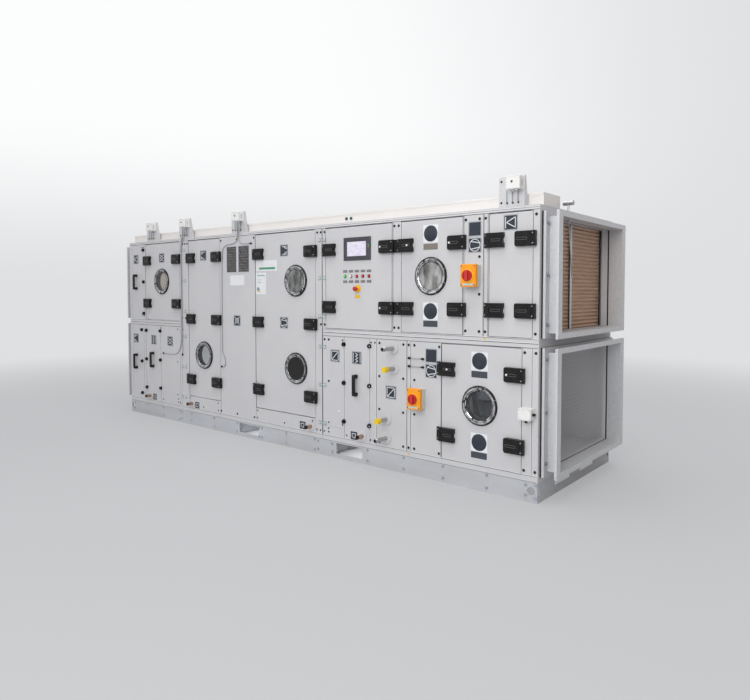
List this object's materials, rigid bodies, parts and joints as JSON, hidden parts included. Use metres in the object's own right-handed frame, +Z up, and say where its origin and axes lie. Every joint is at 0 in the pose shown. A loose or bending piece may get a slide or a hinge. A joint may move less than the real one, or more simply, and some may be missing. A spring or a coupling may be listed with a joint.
{
  "type": "air handling unit",
  "caption": "Modular air handling unit on a base frame, with hinged service doors, fans behind windows, duct collars, filter and roof cable trunking.",
  "frame": {"origin": "on the floor under the middle of the casing, on the underside of a cross member", "axes": "+X to the right along the service front, +Y from the front to the back, +Z up"},
  "size_m": [5.613, 1.57, 2.281],
  "materials": {
    "casing_paint": "satin light grey",
    "base_paint": "satin light grey",
    "galvanised": "galvanised sheet",
    "black_plastic": "moulded",
    "black_rubber": "seal",
    "window_glass": "clear",
    "filter_paper": "pleated",
    "cream_plastic": "satin",
    "mesh_steel": "galvanised wire",
    "motor_black": "satin",
    "wheel_grey": "cast and rolled",
    "display_glass": "gloss",
    "lamp_red": "clear lens",
    "stop_yellow": "moulded",
    "stop_red": "moulded",
    "isolator_yellow": "moulded",
    "pipe_brass": "dull",
    "pipe_steel": "stainless",
    "tube_grey": "flexible tube",
    "core_aluminium": "sheet edges"
  },
  "bodies": {
    "casing": {"back_panels": "casing_paint", "base_cross_members": "base_paint", "base_end_rails": "base_paint", "base_side_rails": "base_paint", "cable_trunking": "cream_plastic", "collar_gaskets": "black_rubber", "drain_stubs": "pipe_steel", "drip_covers": "casing_paint", "duct_probe": "pipe_steel", "end_panels": "casing_paint", "fan_sets": "motor_black", "filter_frame": "galvanised", "filter_media": "filter_paper", "floor_panels": "casing_paint", "frame_posts": "casing_paint", "frame_rails": "casing_paint", "front_panels": "casing_paint", "hinge_leaves": "black_plastic", "inner_walls": "casing_paint", "instrument_boxes": "cream_plastic", "isolator_bodies": "isolator_yellow", "left_collars": "galvanised", "measuring_tubes": "tube_grey", "mesh_guard": "mesh_steel", "mid_deck": "casing_paint", "mounting_plate": "galvanised", "panel_handles": "black_plastic", "pipe_stubs": "pipe_brass", "recovery_core": "core_aluminium", "right_collars": "galvanised", "roof_panels": "casing_paint", "sensor_brackets": "galvanised", "tube_fittings": "black_plastic"},
    "filter_door_leaf": {"filter_door": "casing_paint", "filter_door_fittings": "black_plastic"},
    "fan_door_leaf": {"fan_door": "casing_paint", "fan_door_fittings": "black_plastic", "fan_door_glass": "window_glass"},
    "cabinet_door_leaf": {"cabinet_door": "casing_paint", "cabinet_door_fittings": "black_plastic", "display": "display_glass", "lamps": "lamp_red", "stop_base": "stop_yellow"},
    "lower_fan_door_leaf": {"lower_fan_door": "casing_paint", "lower_fan_door_fittings": "black_plastic", "lower_fan_door_glass": "window_glass"},
    "door_3_leaf": {"door_3": "casing_paint", "door_3_fittings": "black_plastic", "door_3_glass": "window_glass"},
    "door_2_leaf": {"door_2": "casing_paint", "door_2_fittings": "black_plastic", "door_2_glass": "window_glass"},
    "door_1_leaf": {"door_1": "casing_paint", "door_1_fittings": "black_plastic", "door_1_glass": "window_glass"},
    "stop_button": {"stop_button": "stop_red"},
    "upper_isolator_handle": {"upper_isolator_handle": "stop_red"},
    "lower_isolator_handle": {"lower_isolator_handle": "stop_red"},
    "upper_impeller": {"upper_impeller": "wheel_grey"},
    "lower_impeller": {"lower_impeller": "wheel_grey"}
  },
  "joints": [
    {"name": "filter_door_hinge", "type": "hinge", "parent": "casing", "child": "filter_door_leaf", "pos_m": [2.297, -0.728, 1.589], "axis": [0, 0, -1], "range_deg": [0, 110]},
    {"name": "fan_door_hinge", "type": "hinge", "parent": "casing", "child": "fan_door_leaf", "pos_m": [1.501, -0.728, 1.589], "axis": [0, 0, -1], "range_deg": [0, 95]},
    {"name": "cabinet_door_hinge", "type": "hinge", "parent": "casing", "child": "cabinet_door_leaf", "pos_m": [0.659, -0.728, 1.589], "axis": [0, 0, -1], "range_deg": [0, 95]},
    {"name": "lower_fan_door_hinge", "type": "hinge", "parent": "casing", "child": "lower_fan_door_leaf", "pos_m": [1.893, -0.728, 0.6315], "axis": [0, 0, -1], "range_deg": [0, 110]},
    {"name": "door_3_hinge", "type": "hinge", "parent": "casing", "child": "door_3_leaf", "pos_m": [-0.302, -0.728, 1.1765], "axis": [0, 0, -1], "range_deg": [0, 110]},
    {"name": "door_2_hinge", "type": "hinge", "parent": "casing", "child": "door_2_leaf", "pos_m": [-1.438, -0.728, 1.1765], "axis": [0, 0, -1], "range_deg": [0, 110]},
    {"name": "door_1_hinge", "type": "hinge", "parent": "casing", "child": "door_1_leaf", "pos_m": [-2.321, -0.728, 1.589], "axis": [0, 0, -1], "range_deg": [0, 110]},
    {"name": "stop_button_press", "type": "slide", "parent": "cabinet_door_leaf", "child": "stop_button", "axis": [0, 1, 0], "range_m": [0, 0.004], "stiffness_N_per_m": 600},
    {"name": "upper_isolator_turn", "type": "hinge", "parent": "casing", "child": "upper_isolator_handle", "pos_m": [2.163, -0.71, 1.59], "axis": [0, 1, 0], "range_deg": [0, 90]},
    {"name": "lower_isolator_turn", "type": "hinge", "parent": "casing", "child": "lower_isolator_handle", "pos_m": [1.676, -0.71, 0.6315], "axis": [0, 1, 0], "range_deg": [0, 90]},
    {"name": "upper_impeller_spin", "type": "hinge", "parent": "casing", "child": "upper_impeller", "pos_m": [2.084, 0, 1.589], "axis": [1, 0, 0], "continuous": true},
    {"name": "lower_impeller_spin", "type": "hinge", "parent": "casing", "child": "lower_impeller", "pos_m": [1.877, 0, 0.6315], "axis": [1, 0, 0], "continuous": true}
  ]
}
